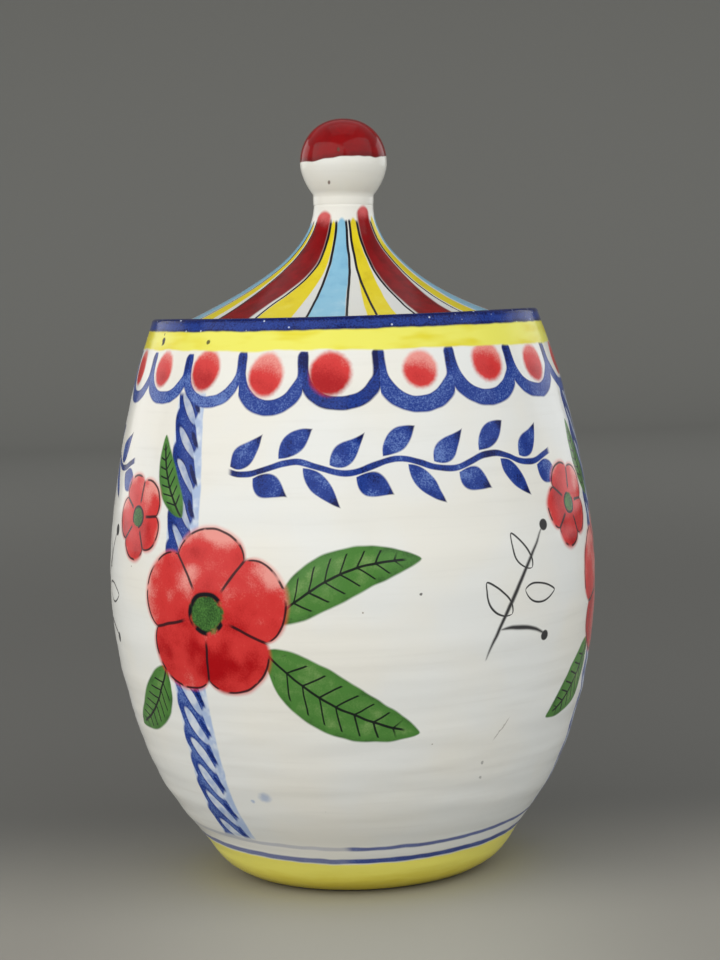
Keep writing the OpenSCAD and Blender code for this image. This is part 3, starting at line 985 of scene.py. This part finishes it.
knob = turnedPiece("ballKnob", knobOutline(knobSettings), knobSettings, knobGlaze(knobPaint))
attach(knob, "lid")
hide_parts("lid_knob")
print("lid, locating ring and knob made")


# ---- floor, backdrop and light
stageSettings = {
    "width": 6.0, "front": -2.6, "back": 3.6, "bend": 0.9, "top": 3.0, "roughness": 0.8,
    # painted light and shade: a brighter painted pool on the floor in front of the jar and darker
    # painted floor behind it
    "tint": (142, 141, 135), "paintedShadeBehindTint": (98, 97, 92), "paintedLightFrontTint": (146, 143, 134),
    "paintedLightPoolTint": (166, 163, 151),
    # where the tints pass over into each other: out from the middle, and back from the jar
    "paintedLightPoolEdge": (0.02, 0.12), "paintedLightFrontEdge": (0.10, -0.09), "paintedShadeBehindEdge": (0.5, 2.6),
}
lightSettings = {
    # place, what it faces, size, watts and colour
    "leftPanel": ((-1.1, -1.05, 0.7), (0, 0, 0.15), (3.0, 1.7), 25, (1.0, 0.985, 0.955)),
    "rightPanel": ((1.0, -0.95, 0.8), (0, 0, 0.15), (2.2, 1.7), 13, (0.95, 0.975, 1.0)),
    "topPanel": ((0.0, 0.1, 2.0), (0, 0, 0.1), (1.4, 1.4), 2, (0.97, 0.99, 1.0)),
    "backLeft": ((-1.5, 1.2, 0.6), (0, 0, 0.12), (1.2, 1.0), 4, (1.0, 0.99, 0.97)),
    "backRight": ((1.5, 1.2, 0.6), (0, 0, 0.12), (1.2, 1.0), 4, (0.97, 0.99, 1.0)),
}
roomSettings = {"colour": (0.95, 0.97, 1.0, 1), "strength": 0.46}


def makeBackdrop(s):
    points = [(s["front"], 0), (s["back"] - s["bend"], 0)]
    points += arc((s["back"] - s["bend"], s["bend"]), s["bend"], -90, 0, 24)
    points += [(s["back"], s["top"])]
    mesh = bpy.data.meshes.new("backdrop")
    half = s["width"] / 2
    verts = [(side * half, y, z) for y, z in points for side in (-1, 1)]
    mesh.from_pydata(verts, [], [(2 * i, 2 * i + 1, 2 * i + 3, 2 * i + 2)
                                 for i in range(len(points) - 1)])
    mesh.polygons.foreach_set("use_smooth", [True] * len(mesh.polygons))
    material = bpy.data.materials.new("backdropPaper")
    material.use_nodes = True
    tree = material.node_tree
    shader = tree.nodes["Principled BSDF"]
    shader.inputs["Roughness"].default_value = s["roughness"]
    # painted light and shade: as the camera sees it, the floor has a painted pool of light towards
    # the front and painted shade behind the jar, while the jar is lit by one even tint
    x, y, _ = split(Wire(tree).node("ShaderNodeTexCoord", None, None, 3))
    seen = x.node("ShaderNodeLightPath")
    front = mixed(tint(*s["paintedLightPoolTint"]), tint(*s["paintedLightFrontTint"]), ramp(abs(x), *s["paintedLightPoolEdge"]))
    colour = mixed(tint(*s["paintedShadeBehindTint"]), tint(*s["tint"]), ramp(y, *s["paintedShadeBehindEdge"]))
    colour = mixed(colour, front, ramp(y, *s["paintedLightFrontEdge"]))
    colour = mixed(tint(*s["tint"]), colour, seen)
    tree.links.new(colour.socket, shader.inputs["Base Color"])
    mesh.materials.append(material)
    backdrop = bpy.data.objects.new("backdrop", mesh)
    scene.collection.objects.link(backdrop)
    return backdrop


def makeLight(name, place, aim, size, power, colour):
    data = bpy.data.lights.new(name, "AREA")
    data.shape = "RECTANGLE"
    data.size, data.size_y = size
    data.energy = power
    data.color = colour
    light = bpy.data.objects.new(name, data)
    light.location = place
    light.rotation_mode = "QUATERNION"
    light.rotation_quaternion = (Vector(place) - Vector(aim)).to_track_quat("Z", "Y")
    scene.collection.objects.link(light)
    return light


lights = [makeLight(name, *row) for name, row in lightSettings.items()]
scene.world = bpy.data.worlds.new("room")
scene.world.use_nodes = True
room = scene.world.node_tree.nodes["Background"]
room.inputs["Color"].default_value = roomSettings["colour"]
room.inputs["Strength"].default_value = roomSettings["strength"]
makeBackdrop(stageSettings)
print("floor and light made")
